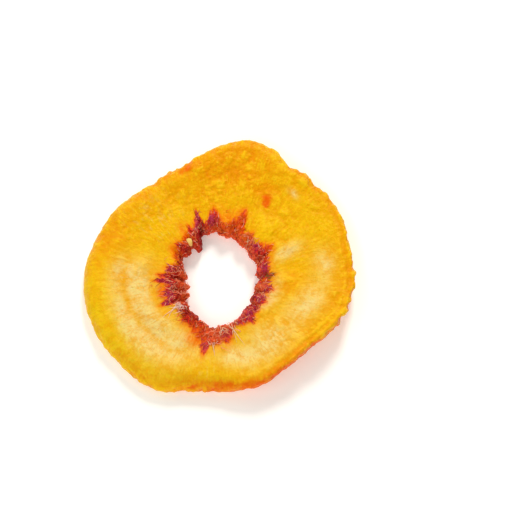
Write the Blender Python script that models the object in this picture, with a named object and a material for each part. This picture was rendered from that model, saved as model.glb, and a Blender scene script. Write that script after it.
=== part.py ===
"""One dried peach slice: a ring of flesh cut across the fruit, with the hole that the stone left.

The slice lies flat on z = 0 with its best face up. The origin is under the middle of its bounding box.
Directions are in degrees, anticlockwise from +X as seen from above, so 90 points away from the viewer.
"""

import math

import bmesh
import bpy
from mathutils import Vector, noise

MM = 0.001

# Driving dimensions
SLICE_RADIUS = 30.8 * MM
STONE_HALF_WIDTH = 9.6 * MM
STONE_HALF_LENGTH = 12.2 * MM
STONE_CENTRE = Vector((0.0, -3.4 * MM))
FLESH_THICKNESS = 4.3 * MM
RIM_THICKNESS = 4.9 * MM
RIM_THICK_WIDTH = 8.0 * MM

# The rim's departures from a circle: (direction, width in degrees, height)
RIM_LOBES = (
    (75, 11, 1.6 * MM),
    (65, 3, 0.5 * MM),
    (58, 5, -0.8 * MM),
    (119, 23, -6.0 * MM),
    (118, 9, 1.5 * MM),
    (140, 8, -0.9 * MM),
    (160, 16, -1.8 * MM),
    (208, 20, 0.8 * MM),
    (242, 15, 1.6 * MM),
    (265, 20, -1.5 * MM),
    (310, 16, -1.7 * MM),
    (345, 11, 0.8 * MM),
)

# The hole's departures from an ellipse, in the same form
HOLE_LOBES = (
    (101, 7, 0.9 * MM),
    (118, 10, -2.1 * MM),
    (209, 9, -0.8 * MM),
    (236, 11, -1.5 * MM),
    (260, 10, -1.9 * MM),
    (283, 8, -1.7 * MM),
    (301, 8, -0.9 * MM),
    (316, 8, -1.9 * MM),
    (340, 12, -1.3 * MM),
)

# Where drying has lifted the rim off the tray, in the same form
RIM_CURLS = (
    (318, 30, 1.9 * MM),
    (88, 34, 1.3 * MM),
    (200, 22, 0.4 * MM),
)
CURL_STARTS = 0.35 * SLICE_RADIUS

# The star of torn flesh round the hole, one ray for each furrow of the stone:
# (direction, half width in degrees, reach over the face)
STONE_RAYS = (
    (4, 8, 3.0 * MM),
    (27, 10, 3.8 * MM),
    (52, 6, 2.4 * MM),
    (72, 6, 3.4 * MM),
    (92, 7, 3.6 * MM),
    (108, 5, 5.0 * MM),
    (124, 5, 4.4 * MM),
    (146, 8, 3.6 * MM),
    (179, 6, 5.6 * MM),
    (196, 8, 4.2 * MM),
    (211, 6, 4.8 * MM),
    (232, 8, 2.8 * MM),
    (261, 8, 5.2 * MM),
    (284, 7, 3.4 * MM),
    (318, 9, 4.2 * MM),
    (342, 8, 3.8 * MM),
)
LEAST_REACH = 1.0 * MM
MEAN_REACH = 3.0 * MM
FURROW_DEPTH = 1.6 * MM
UNDER_FURROW_DEPTH = 1.0 * MM
FURROW_BITE = 0.3  # how far a furrow cuts the hole's edge back, as a share of its reach

# On the left a flap of flesh slopes down into the hole
FLAP_DIRECTION, FLAP_SPREAD = 187, 31
FLAP_REACH, FLAP_SLOPE, FLAP_DROP = 2.7 * MM, 2.8 * MM, 0.35

# The rim's outer face: a broad round shoulder on the left, and on the right a thin lip
# that the underside falls back from
SHOULDER_DIRECTION, SHOULDER_SPREAD = 215, 62
LIP_DIRECTION, LIP_SPREAD = 335, 50
LIP_CONTRAST = 0.75
SHOULDER_NOSE, LIP_NOSE = -0.5, 0.62
SHOULDER_TOP_INSET, LIP_TOP_INSET = 5.2 * MM, 0.8 * MM
SHOULDER_UNDER_INSET, LIP_UNDER_INSET = 1.1 * MM, 2.6 * MM
HOLE_NOSE = -0.2
HOLE_TOP_INSET, HOLE_UNDER_INSET = 1.2 * MM, 0.8 * MM

# Surface relief: how high, and how far apart or how many round the ring
LUMP_HEIGHT, LUMP_SIZE = 0.42 * MM, 9.0 * MM
UNDER_LUMP_HEIGHT, UNDER_PRESSED = 0.3 * MM, 0.22 * MM
FIBRE_HEIGHT, FIBRES_ROUND, FIBRE_LENGTH, FIBRE_FADE = 0.12 * MM, 7.0, 9.0 * MM, 6.0 * MM
RIPPLE_HEIGHT, RIPPLE_SPACING = 0.26 * MM, 6.2 * MM
RIPPLE_DIRECTION, RIPPLE_SPREAD = 200, 42
WRINKLE_HEIGHT, WRINKLE_SIZE = 0.2 * MM, 3.8 * MM
CRIMP_HEIGHT, CRIMPS_ROUND, SHOULDER_CRIMPS = 0.55 * MM, 6.5, 0.5
FLUTTER_HEIGHT, FLUTTERS_ROUND, FLUTTER_WIDTH = 0.75 * MM, 4.5, 5.0 * MM
SWELL_HEIGHT, SWELL_WIDTH, SWELL_FROM_RIM = 0.35 * MM, 4.5 * MM, 4.6 * MM
TOP_SEED, UNDER_SEED = 3.1, 17.7

# Resolution: steps round the ring, across each face, and round each quarter of an edge
STEPS_ROUND = 144
STEPS_TOP, STEPS_UNDER = 17, 8
STEPS_RIM, STEPS_HOLE = 4, 2

FLESH_COLOUR = (0.89, 0.47, 0.04, 1.0)
FLESH_ROUGHNESS = 0.45


def bell(angle, centre, width):
    """1 in the centre direction, and near 0 two widths to either side."""
    gap = (angle - centre + 180) % 360 - 180
    return math.exp(-((gap / width) ** 2))


def bells(angle, rows):
    return sum(height * bell(angle, centre, width) for centre, width, height in rows)


def smooth(x):
    """0 below 0, 1 above 1, and an even S between."""
    x = min(1.0, max(0.0, x))
    return x * x * (3 - 2 * x)


def blend(share, low, high):
    return low + (high - low) * share


def heading(angle):
    radians = math.radians(angle)
    return Vector((math.cos(radians), math.sin(radians)))


def round_noise(angle, count, seed):
    """Noise that closes on itself round the ring. Its waves grow finer as count grows."""
    way = heading(angle) * count
    return noise.noise(Vector((way.x, way.y, seed)))


def lip(angle):
    """1 where the rim is a thin lip, 0 where it is a round shoulder."""
    shoulder = bell(angle, SHOULDER_DIRECTION, SHOULDER_SPREAD)
    thin = bell(angle, LIP_DIRECTION, LIP_SPREAD)
    return smooth(0.5 + LIP_CONTRAST * (thin - shoulder))


def rim_radius(angle):
    crimps = CRIMP_HEIGHT * round_noise(angle, CRIMPS_ROUND, TOP_SEED)
    return SLICE_RADIUS + bells(angle, RIM_LOBES) + crimps * blend(lip(angle), SHOULDER_CRIMPS, 1.0)


def flap(angle):
    return bell(angle, FLAP_DIRECTION, FLAP_SPREAD)


def star_reach(angle):
    rays = (reach * bell(angle, centre, width) for centre, width, reach in STONE_RAYS)
    return max(LEAST_REACH, *rays)


def hole_radius(angle):
    """An ellipse the size of the stone, cut back where each furrow meets it."""
    way = heading(angle)
    ellipse = 1 / math.hypot(way.x / STONE_HALF_WIDTH, way.y / STONE_HALF_LENGTH)
    bite = FURROW_BITE * (star_reach(angle) - MEAN_REACH)
    return ellipse + bells(angle, HOLE_LOBES) + bite - FLAP_REACH * flap(angle)


def curl(place):
    """How far drying has lifted the slice here."""
    angle = math.degrees(math.atan2(place.y, place.x))
    share = smooth((place.length - CURL_STARTS) / (SLICE_RADIUS - CURL_STARTS))
    return bells(angle, RIM_CURLS) * share


def bumps(place, height, size, seed):
    return height * noise.noise(Vector((place.x / size, place.y / size, seed)))


def furrow(angle, from_hole):
    """1 at the hole's edge in the middle of a ray, 0 past the ray's tip."""
    return smooth(1 - from_hole / star_reach(angle))


def fibres(angle, from_hole):
    """Ridges that run out from the stone and fade on their way to the rim."""
    drift = TOP_SEED + from_hole / FIBRE_LENGTH
    return FIBRE_HEIGHT * round_noise(angle, FIBRES_ROUND, drift) / (1 + from_hole / FIBRE_FADE)


def ripples(angle, from_rim):
    """Growth rings that drying has raised on the left side, in step with the rim."""
    window = bell(angle, RIPPLE_DIRECTION, RIPPLE_SPREAD) * smooth(from_rim / RIPPLE_SPACING)
    return RIPPLE_HEIGHT * window * math.cos(2 * math.pi * from_rim / RIPPLE_SPACING)


def flutter(angle, from_rim):
    """Up and down waves of the thin lip."""
    wave = round_noise(angle, FLUTTERS_ROUND, TOP_SEED)
    return FLUTTER_HEIGHT * lip(angle) * wave * smooth(1 - from_rim / FLUTTER_WIDTH)


def top_height(place, angle, from_hole, from_rim):
    thickness = blend(smooth(1 - from_rim / RIM_THICK_WIDTH), FLESH_THICKNESS, RIM_THICKNESS)
    swell = SWELL_HEIGHT * math.exp(-(((from_rim - SWELL_FROM_RIM) / SWELL_WIDTH) ** 2))
    relief = fibres(angle, from_hole) + ripples(angle, from_rim)
    for height, size in ((LUMP_HEIGHT, LUMP_SIZE), (WRINKLE_HEIGHT, WRINKLE_SIZE)):
        relief += bumps(place, height, size, TOP_SEED)
    torn = FURROW_DEPTH * furrow(angle, from_hole)
    return curl(place) + flutter(angle, from_rim) + thickness + swell + relief - torn


def under_height(place, angle, from_hole, from_rim):
    """The underside dried on a tray, so it is flat wherever it isn't curled or torn."""
    torn = UNDER_FURROW_DEPTH * furrow(angle, from_hole)
    relief = bumps(place, UNDER_LUMP_HEIGHT, LUMP_SIZE, UNDER_SEED) - UNDER_PRESSED
    return max(0.0, curl(place) + flutter(angle, from_rim) + torn + relief)


def edge_quarters(steps, nose, top_inset, under_inset):
    """Points round an edge from the top face to the underside, without the first and last:
    (how far in from the nose, level from -1 on the underside to 1 on the top)."""
    for step in range(1, steps):
        turn = math.radians(90 * (1 - step / steps))
        yield top_inset * (1 - math.cos(turn)), nose + (1 - nose) * math.sin(turn)
    yield 0.0, nose
    for step in range(1, steps):
        turn = math.radians(90 * step / steps)
        yield under_inset * (1 - math.cos(turn)), nose - (1 + nose) * math.sin(turn)


def rim_edge(angle):
    """(nose level, top inset, underside inset)"""
    thin = lip(angle)
    top_inset = blend(thin, SHOULDER_TOP_INSET, LIP_TOP_INSET)
    under_inset = blend(thin, SHOULDER_UNDER_INSET, LIP_UNDER_INSET)
    return blend(thin, SHOULDER_NOSE, LIP_NOSE), top_inset, under_inset


def hole_edge(angle):
    """(nose level, top inset, underside inset)"""
    return HOLE_NOSE - FLAP_DROP * flap(angle), HOLE_TOP_INSET + FLAP_SLOPE * flap(angle), HOLE_UNDER_INSET


def section(angle, length):
    """The ring's section as (distance from the hole edge, level), once round."""
    rim_nose, rim_top, rim_under = rim_edge(angle)
    hole_nose, hole_top, hole_under = hole_edge(angle)
    for step in range(STEPS_TOP + 1):
        yield blend(step / STEPS_TOP, hole_top, length - rim_top), 1.0
    for inset, level in edge_quarters(STEPS_RIM, rim_nose, rim_top, rim_under):
        yield length - inset, level
    for step in range(STEPS_UNDER + 1):
        yield blend(step / STEPS_UNDER, length - rim_under, hole_under), -1.0
    yield from reversed(list(edge_quarters(STEPS_HOLE, hole_nose, hole_top, hole_under)))


def section_points(angle):
    """The section at one direction, in space."""
    hole = STONE_CENTRE + heading(angle) * hole_radius(angle)
    rim = heading(angle) * rim_radius(angle)
    length = (rim - hole).length
    for from_hole, level in section(angle, length):
        place = hole.lerp(rim, from_hole / length)
        from_rim = length - from_hole
        under = under_height(place, angle, from_hole, from_rim)
        top = top_height(place, angle, from_hole, from_rim)
        yield Vector((place.x, place.y, blend((level + 1) / 2, under, top)))


def centred(points):
    """Moves the points so that the origin is under the middle of their box."""
    xs = [point.x for point in points]
    ys = [point.y for point in points]
    middle = Vector((min(xs) + max(xs), min(ys) + max(ys), 0.0)) / 2
    return [point - middle for point in points]


def ring_mesh():
    """Joins the sections into one closed ring."""
    sections = [list(section_points(360 * step / STEPS_ROUND)) for step in range(STEPS_ROUND)]
    around = len(sections[0])
    points = centred([point for row in sections for point in row])
    shape = bmesh.new()
    corners = [shape.verts.new(point) for point in points]
    rows = [corners[start:start + around] for start in range(0, len(corners), around)]
    for here, ahead in zip(rows, rows[1:] + rows[:1]):
        for i, corner in enumerate(here):
            shape.faces.new((here[i - 1], ahead[i - 1], ahead[i], corner))
    bmesh.ops.recalc_face_normals(shape, faces=shape.faces)
    mesh = bpy.data.meshes.new("peach_slice")
    shape.to_mesh(mesh)
    shape.free()
    mesh.shade_smooth()
    return mesh


def flesh_material():
    material = bpy.data.materials.new("dried_peach_flesh")
    material.use_nodes = True
    shader = material.node_tree.nodes["Principled BSDF"]
    shader.inputs["Base Color"].default_value = FLESH_COLOUR
    shader.inputs["Roughness"].default_value = FLESH_ROUGHNESS
    return material


def peach_slice():
    slice_object = bpy.data.objects.new("peach_slice", ring_mesh())
    slice_object.data.materials.append(flesh_material())
    bpy.context.scene.collection.objects.link(slice_object)


def main():
    for old in list(bpy.data.objects):
        bpy.data.objects.remove(old)
    peach_slice()


main()
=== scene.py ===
"""The looks of one dried peach slice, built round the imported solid.

The solid's own shape rules are repeated here and drawn much finer, with torn flesh round the hole,
fibres, wrinkles and a crinkled lip added. Directions are in degrees, anticlockwise from +X seen from
above. Lengths are in metres, and the shape functions take and give arrays.
"""

import math
import random
from functools import reduce
from itertools import accumulate

import bpy
import numpy as np
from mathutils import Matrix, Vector, noise


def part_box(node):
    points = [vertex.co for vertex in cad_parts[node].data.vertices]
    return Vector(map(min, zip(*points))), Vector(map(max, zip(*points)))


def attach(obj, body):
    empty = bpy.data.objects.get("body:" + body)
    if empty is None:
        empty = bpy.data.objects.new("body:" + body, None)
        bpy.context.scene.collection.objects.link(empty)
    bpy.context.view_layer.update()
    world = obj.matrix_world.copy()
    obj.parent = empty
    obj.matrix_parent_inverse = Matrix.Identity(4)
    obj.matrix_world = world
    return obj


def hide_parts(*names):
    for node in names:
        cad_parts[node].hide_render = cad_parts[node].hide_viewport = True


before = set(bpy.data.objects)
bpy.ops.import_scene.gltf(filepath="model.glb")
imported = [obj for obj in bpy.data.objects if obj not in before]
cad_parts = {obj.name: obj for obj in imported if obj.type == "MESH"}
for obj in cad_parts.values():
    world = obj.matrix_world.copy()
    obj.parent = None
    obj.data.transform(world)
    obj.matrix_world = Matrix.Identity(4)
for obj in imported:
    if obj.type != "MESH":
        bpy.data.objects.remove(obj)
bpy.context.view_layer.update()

MM = 0.001
CENTIMETRE = 10 * MM
NODE = "peach_slice"


def in_metres(count, *rows):
    """Rows that end in so many lengths, turned here from millimetres into metres."""
    return [row[:-count] + tuple(length * MM for length in row[-count:]) for row in rows]


# The solid's driving dimensions
SLICE_RADIUS = 30.8 * MM
STONE_HALF_WIDTH = 9.6 * MM
STONE_HALF_LENGTH = 12.2 * MM
STONE_CENTRE = (0.0, -3.4 * MM)
FLESH_THICKNESS = 4.3 * MM
RIM_THICKNESS = 4.9 * MM
RIM_THICK_WIDTH = 8.0 * MM

# The rim's departures from a circle: (direction, width in degrees, height)
RIM_LOBES = in_metres(
    1,
    (75, 11, 1.6), (65, 3, 0.5), (58, 5, -0.8), (119, 23, -6), (118, 9, 1.5), (140, 8, -0.9),
    (160, 16, -1.8), (208, 20, 0.8), (242, 15, 1.6), (265, 20, -1.5), (310, 16, -1.7), (345, 11, 0.8),
)

# The hole's departures from an ellipse, in the same form
HOLE_LOBES = in_metres(
    1,
    (101, 7, 0.9), (118, 10, -2.1), (209, 9, -0.8), (236, 11, -1.5), (260, 10, -1.9), (283, 8, -1.7),
    (301, 8, -0.9), (316, 8, -1.9), (340, 12, -1.3),
)

# Where drying has lifted the rim off the tray, in the same form
RIM_CURLS = in_metres(1, (318, 30, 1.9), (88, 34, 1.3), (200, 22, 0.4))
CURL_STARTS = 0.35 * SLICE_RADIUS

# The star of torn flesh, with a ray for each furrow of the stone: (direction, half width, reach)
STONE_RAYS = in_metres(
    1,
    (4, 8, 3), (27, 10, 3.8), (52, 6, 2.4), (72, 6, 3.4), (92, 7, 3.6), (108, 5, 5), (124, 5, 4.4),
    (146, 8, 3.6), (179, 6, 5.6), (196, 8, 4.2), (211, 6, 4.8), (232, 8, 2.8), (261, 8, 5.2),
    (284, 7, 3.4), (318, 9, 4.2), (342, 8, 3.8),
)
LEAST_REACH = 1.0 * MM
MEAN_REACH = 3.0 * MM
FURROW_DEPTH = 1.6 * MM
UNDER_FURROW_DEPTH = 1.0 * MM
FURROW_BITE = 0.3

# Stretches of the ring: (direction, spread in degrees)
FLAP = (187, 31)
SHOULDER = (215, 62)
LIP = (335, 50)
GROWTH_RINGS = (200, 42)
SMOOTH_SIDE = (222, 58)  # where drying has left the flesh smooth
FLUTED_LIP = (314, 36)  # where the lip has most of its fine flutes
YELLOW_SIDE = (208, 46)  # where the rim and the outer side are yellow, not orange

# The flap that slopes into the hole on the left
FLAP_REACH, FLAP_SLOPE, FLAP_DROP = 2.7 * MM, 2.8 * MM, 0.35

# The rim's outer face, from round shoulder on the left to thin lip on the right
LIP_CONTRAST = 0.75
SHOULDER_NOSE, LIP_NOSE = -0.5, 0.62
SHOULDER_TOP_INSET, LIP_TOP_INSET = 5.2 * MM, 0.8 * MM
SHOULDER_UNDER_INSET, LIP_UNDER_INSET = 1.1 * MM, 2.6 * MM
HOLE_NOSE = -0.2
HOLE_TOP_INSET, HOLE_UNDER_INSET = 1.2 * MM, 0.8 * MM

# The solid's relief, with its lumps and wrinkles as (height, size)
LUMPS, WRINKLES = (0.42 * MM, 9.0 * MM), (0.2 * MM, 3.8 * MM)
UNDER_LUMPS, UNDER_PRESSED = (0.3 * MM, 9.0 * MM), 0.22 * MM
FIBRE_HEIGHT, FIBRES_ROUND, FIBRE_LENGTH, FIBRE_FADE = 0.12 * MM, 7.0, 9.0 * MM, 6.0 * MM
RIPPLE_HEIGHT, RIPPLE_SPACING = 0.26 * MM, 6.2 * MM
RIM_HOLLOW_SHARE, HOLLOW_SHARPNESS = 0.1, 1.5
CRIMP_HEIGHT, CRIMPS_ROUND, SHOULDER_CRIMPS = 0.55 * MM, 6.5, 0.5
FLUTTER_HEIGHT, FLUTTERS_ROUND, FLUTTER_WIDTH = 0.75 * MM, 4.5, 5.0 * MM
SWELL_HEIGHT, SWELL_WIDTH, SWELL_FROM_RIM = 0.35 * MM, 4.5 * MM, 4.6 * MM
TOP_SEED, UNDER_SEED = 3.1, 17.7

# The finer relief that only the looks have
TEAR_HEIGHT, TEARS_ROUND = 0.28 * MM, 13
CREST = 0.3  # how high ridged noise stands at its crests
PATCH_SIZE, PATCH_CONTRAST = 7.0 * MM, 1.6  # the crinkled and the smooth stretches of the flesh

# Ridges round the ring: (height, how fine they are, length over which they change)
RADIALS = (0.13 * MM, 26, 6.0 * MM)
RIM_LINES = (0.15 * MM, 6, 1.4 * MM)
RIM_WRINKLES = (0.34 * MM, 13, 1.0)  # these change with the level of the section
TORN_RIDGES = (0.6 * MM, 18, 4.0 * MM)
FLAP_LINES = (0.44 * MM, 5, 0.8 * MM)
FLAP_CALM = 0.8  # the share of the torn ridges that gives way to the flap's lines
RIM_LINES_WIDTH, SHOULDER_LINES = 6.0 * MM, 0.4  # how far they reach in, and the shoulder's share

# Folds of the flesh: (height, size, share of the height where it is smooth, and where it is crinkled)
CREASES = (0.30 * MM, 3.0 * MM, 0.5, 1.5)
CRINKLES = (0.25 * MM, 1.05 * MM, 0.4, 1.6)

# The torn flesh: the share of the stain's reach at which it has faded out, and lumps: (height, size)
TORN_END = 1.3
TORN_LUMPS = ((0.34 * MM, 1.1 * MM), (0.16 * MM, 0.5 * MM))

# How much calmer the smooth side is, and from where
SMOOTH_SHARE, SMOOTH_FROM_RIM = 0.7, 3.0 * MM

# The flutes of the lip
EDGE_WIDTH = 2.5 * MM  # how far they and the rim's wrinkles reach in
LIP_CRIMP_HEIGHT, LIP_CRIMPS_ROUND, LIP_CRIMP_LEAN, LIP_CRIMP_TURNS = 1.0 * MM, 14, 3.0, 0.3
FINE_CRIMP_HEIGHT, FINE_CRIMPS_ROUND = 0.8 * MM, 30
UNFLUTED_SHARE = 0.3
STRETCHES_ROUND, STRETCH_CONTRAST, SHALLOW_SHARE = 3, 2, 0.2  # deep stretches and shallow ones

# Low ridges of the face that follow the lip: (distance from the rim, half width, height)
LIP_RIDGES = in_metres(3, (0.5, 0.35, 0.14), (1.4, 0.4, -0.12), (2.3, 0.4, 0.10))

# The red stain round the hole: (direction, half width in degrees, reach from the hole's edge)
STAIN_LOBES = in_metres(
    1,
    (15, 24, 3.2), (3, 6, 3.4), (31, 7, 4.6), (38, 6, 3.9), (54, 7, 3), (68, 6, 6.6), (76, 8, 3.2),
    (93, 8, 4.8), (108, 3, 6), (113, 9, 5.2), (119, 4, 6.2), (128, 9, 3.4), (138, 10, 3),
    (152, 12, 2.4), (170, 10, 4.9), (180, 6, 5.8), (186, 5, 8.2), (192, 26, 5), (202, 8, 6.4),
    (209, 6, 6.2), (224, 10, 2.8), (238, 12, 4), (248, 10, 3.9), (254, 5, 5.4), (261, 5.5, 7.9),
    (269, 12, 5), (279, 7, 5.4), (297, 8, 2.6), (307, 9, 4.1), (318, 9, 3), (332, 12, 3.7),
    (347, 9, 4.3), (357, 9, 3.3),
)
LEAST_STAIN = 1.6 * MM
FRAY, FRAYS_ROUND = 0.4 * MM, 12
HALO_WIDTH, HALO_SHARE = 1.1 * MM, 0.6

# Patches of one colour round the hole:
# (direction, half width in degrees, distance from the hole's edge, half length)
PURPLE_PATCHES = in_metres(
    2,
    (95, 5, 2.4, 1.4), (110, 4, 4, 1.5), (40, 5, 1.5, 1), (10, 7, 1.6, 1.2), (347, 7, 2.8, 1.6),
    (337, 5, 2, 1.2), (311, 9, 1.6, 1.5), (296, 5, 0.7, 0.9), (278, 5, 2.8, 1.2), (261, 5, 5.8, 1.6),
    (205, 9, 4.6, 1.3), (185, 4, 6, 1.8), (171, 7, 3.7, 0.9),
)
EMBER_PATCHES = in_metres(
    2,
    (58, 8, 1.8, 1.6), (69, 5, 3.2, 2.6), (82, 9, 1.8, 2.8), (126, 6, 3.4, 1.8), (147, 8, 2.2, 1.2),
    (28, 9, 3.6, 1), (356, 5, 1.5, 1.2), (250, 9, 4, 2.2), (256, 5, 4.6, 1.8),
)
GLOW_PATCHES = in_metres(
    2,
    (122, 8, 4.6, 2), (80, 11, 3.4, 2.6), (68, 5, 5.4, 1.6), (30, 6, 4.4, 1), (252, 8, 5.4, 1.7),
    (192, 16, 5.6, 1.2), (148, 10, 3, 1),
)
SALMON_PATCHES = in_metres(
    2,
    (190, 14, 0.8, 1.1), (212, 8, 1.2, 1), (270, 11, 2.4, 1.8), (288, 6, 1, 0.9), (50, 6, 1.2, 1),
    (344, 9, 1.8, 1.2),
)
# Dark crimson: partly the flesh's dark red, and partly painted shade at the hole's edge.
DARK_STAIN_AND_SHADE_PATCHES = in_metres(
    2,
    (112, 8, 0.6, 1.9), (162, 5, 0.2, 0.9), (168, 8, 2.5, 0.7), (203, 6, 2.6, 0.7), (235, 9, 1.2, 1.4),
    (265, 5, 0.2, 0.6), (135, 4, 0.9, 0.7), (335, 6, 0.4, 0.7),
)
OLIVE_PATCHES = in_metres(2, (3, 4, 2.7, 1.1))
# Painted light: the top of the hole's wall is salmon and lighter than the crimson, as if lit, where the
# sloping wall would lie in shade.
LIT_BROW_SALMON, BROW_PLACE, BROW_WIDTH = 0.7, 0.5 * MM, 1.2 * MM  # the bright brow of the hole's wall

# The outer side, from these levels of the section down, is orange, but yellow on the left. The orange is
# partly the side's own colour and partly painted warm shade on walls that face away from the lights.
SIDE_FROM_SHOULDER, SIDE_FROM_LIP, SIDE_FADE = 0.92, 1.0, 0.4
LOW_SIDE_FROM, LOW_SIDE_FADE, LOW_SIDE_ORANGE = 0.2, 0.8, 0.4
YELLOW_LESS_ORANGE, YELLOW_LESS_BLUSH = 0.92, 0.7
LEMON_WIDTH, SIDE_LESS_LEMON = 8.0 * MM, 0.5  # how far the left rim's yellow reaches in
RIM_GOLD, RIM_GOLD_WIDTH = 0.4, 3.4 * MM
ORANGE_SHARE, GROOVE_SHARE = 0.85, 0.9
GOLD_LESS_PALE, ORANGE_LESS_PALE = 0.6, 0.5

# Blushes of the outer side and of the rim: (direction, spread in degrees, strength). They are partly the
# lip's own orange and partly painted warm shade where the lower right turns away from the lights.
SIDE_BLUSHES = ((306, 50, 0.42),)
# Painted warm shade: a redder orange in the side's creases, where shade falls.
CREASE_SHADE_BLUSH, CREASE_DEPTH = 0.45, 0.32 * MM  # in the side's creases
RIM_BLUSHES = ((302, 46, 0.46),)
RIM_BLUSH_WIDTH, RIM_BLUSH_END = 2.0 * MM, 1.3
# The relief paints the flesh's colour: painted shade in its hollows and painted highlights on its
# crests.
SHADE_RELIEF_UNIT = 0.16 * MM  # the height that counts as 1 where relief sets the colour

# Blushes of orange skin colour: (strength, lean in degrees, x, y, half width, half length)
BLUSHES = in_metres(
    4,
    (1, 4, 10.9, 14.9, 1.3, 2.1), (0.3, 30, 12.4, 17.3, 1.3, 1.3), (0.7, 64, -7.6, 22.6, 1.4, 3.4),
    (0.3, 0, 3.4, 22, 2, 3),
)

# Patches of the flesh: (direction, half width in degrees, distance from the rim, half length)
PALE_PATCHES = in_metres(
    2,
    (203, 19, 10, 3.6), (236, 22, 10.5, 5.5), (181, 9, 9.5, 3), (281, 9, 7.5, 2.4),
    (303, 15, 7, 4.4), (338, 14, 8.5, 3.6), (3, 7, 6.5, 2.3), (19, 5, 15, 3.2),
    (346, 14, 17.4, 1.7), (47, 3, 6, 0.7), (328, 10, 16.4, 1.8), (190, 17, 14, 2.9),
    (222, 14, 6.4, 2.4),
)
ORANGE_PATCHES = in_metres(
    2,
    (84, 30, 6, 7.2), (80, 16, 6.5, 4), (64, 8, 10, 3), (40, 26, 0, 2), (130, 22, 0, 4.5),
    (165, 14, 4, 3), (160, 26, 0.5, 2.2), (350, 24, 1, 2.4), (305, 30, 0, 2.6), (354, 8, 14.5, 2.6),
)
GROOVE_PATCHES = in_metres(
    2,
    (80, 20, 6.5, 4.5), (356, 14, 14.2, 3.6), (345, 20, 3.5, 2), (160, 22, 3, 4.5),
)
DASH_PATCHES = in_metres(
    2,
    (138, 16, 9, 6), (182, 9, 8, 3), (264, 8, 5.5, 3), (292, 10, 5.5, 3), (17, 7, 14, 4),
)

# Resolution
STEPS_ROUND = 560
STEPS_TOP, STEPS_UNDER = 84, 40
STEPS_RIM, STEPS_HOLE = 14, 9
CROWDING = 1.25  # how much closer the steps across the face lie near the hole

# The camera looks down on the slice as the photograph looks at its face
CAMERA_ELEVATION = 68
CAMERA_DISTANCE = 0.42
CAMERA_LENS = 129
CAMERA_AIM = Vector((8.2, 2.2, 2.5)) * MM
CAMERA_SENSOR_WIDTH = 36  # in millimetres, as the lens is
CAMERA_NEAR_CLIP = 0.01

# The studio: a white floor, an even sky, and lights: (name, place, size, power, colour)
FLOOR_HALF_WIDTH = 3.0
SKY_COLOUR, SKY_STRENGTH = (1.0, 0.99, 0.97, 1.0), 0.27
LIGHTS = (
    ("key", (0.15, 0.62, 0.5), 0.22, 4.7, (1.0, 0.99, 0.97)),
    ("fill", (-0.5, -0.3, 0.6), 0.5, 1.1, (1.0, 1.0, 1.0)),
    ("back", (-0.5, 0.4, 0.45), 0.4, 1.1, (1.0, 1.0, 1.0)),
    ("front", (0.0, -0.7, 0.4), 0.6, 2.7, (1.0, 1.0, 1.0)),
)


def hump(x, centre, width):
    """1 at the centre, and near 0 two widths to either side."""
    return np.exp(-(((x - centre) / width) ** 2))


def bell(angle, centre, width):
    """The same round the ring, where 360 degrees is 0 again."""
    return hump((angle - centre + 180) % 360 - 180, 0, width)


def bells(angle, rows):
    return sum(row[2] * bell(angle, row[0], row[1]) for row in rows)


def smooth(x):
    """0 below 0, 1 above 1, and an even S between."""
    x = np.clip(x, 0.0, 1.0)
    return x * x * (3 - 2 * x)


def fade(distance, width):
    """1 at no distance, and 0 from the width on."""
    return smooth(1 - distance / width)


def blend(share, low, high):
    return low + (high - low) * share


def heading(angle):
    return np.cos(np.radians(angle)), np.sin(np.radians(angle))


def noise_at(x, y, z):
    """Smooth noise at every point of three arrays."""
    x, y, z = np.broadcast_arrays(x, y, z)
    points = zip(x.ravel().tolist(), y.ravel().tolist(), z.ravel().tolist())
    return np.array([noise.noise(point) for point in points]).reshape(x.shape)


def round_noise(angle, count, seed):
    """Noise that closes on itself round the ring. Its waves grow finer as count grows."""
    x, y = heading(angle)
    return noise_at(x * count, y * count, seed)


def bumps(x, y, height, size, seed):
    return height * noise_at(x / size, y / size, seed)


def lip(angle):
    """1 where the rim is a thin lip, 0 where it is a round shoulder."""
    return smooth(0.5 + LIP_CONTRAST * (bell(angle, *LIP) - bell(angle, *SHOULDER)))


def rim_radius(angle):
    crimps = CRIMP_HEIGHT * round_noise(angle, CRIMPS_ROUND, TOP_SEED)
    return SLICE_RADIUS + bells(angle, RIM_LOBES) + crimps * blend(lip(angle), SHOULDER_CRIMPS, 1.0)


def flap(angle):
    return bell(angle, *FLAP)


def furthest(angle, rows, least):
    return np.maximum(least, reduce(np.maximum, [row[2] * bell(angle, row[0], row[1]) for row in rows]))


def star_reach(angle):
    return furthest(angle, STONE_RAYS, LEAST_REACH)


def hole_radius(angle):
    x, y = heading(angle)
    ellipse = 1 / np.hypot(x / STONE_HALF_WIDTH, y / STONE_HALF_LENGTH)
    bite = FURROW_BITE * (star_reach(angle) - MEAN_REACH)
    tears = TEAR_HEIGHT * round_noise(angle, TEARS_ROUND, TOP_SEED)
    return ellipse + bells(angle, HOLE_LOBES) + bite + tears - FLAP_REACH * flap(angle)


def curl(x, y):
    """How far drying has lifted the slice here."""
    angle = np.degrees(np.arctan2(y, x))
    share = smooth((np.hypot(x, y) - CURL_STARTS) / (SLICE_RADIUS - CURL_STARTS))
    return bells(angle, RIM_CURLS) * share


def furrow(angle, from_hole):
    """1 at the hole's edge in the middle of a ray, 0 past the ray's tip."""
    return fade(from_hole, star_reach(angle))


def fibres(angle, from_hole):
    drift = TOP_SEED + from_hole / FIBRE_LENGTH
    return FIBRE_HEIGHT * round_noise(angle, FIBRES_ROUND, drift) / (1 + from_hole / FIBRE_FADE)


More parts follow.
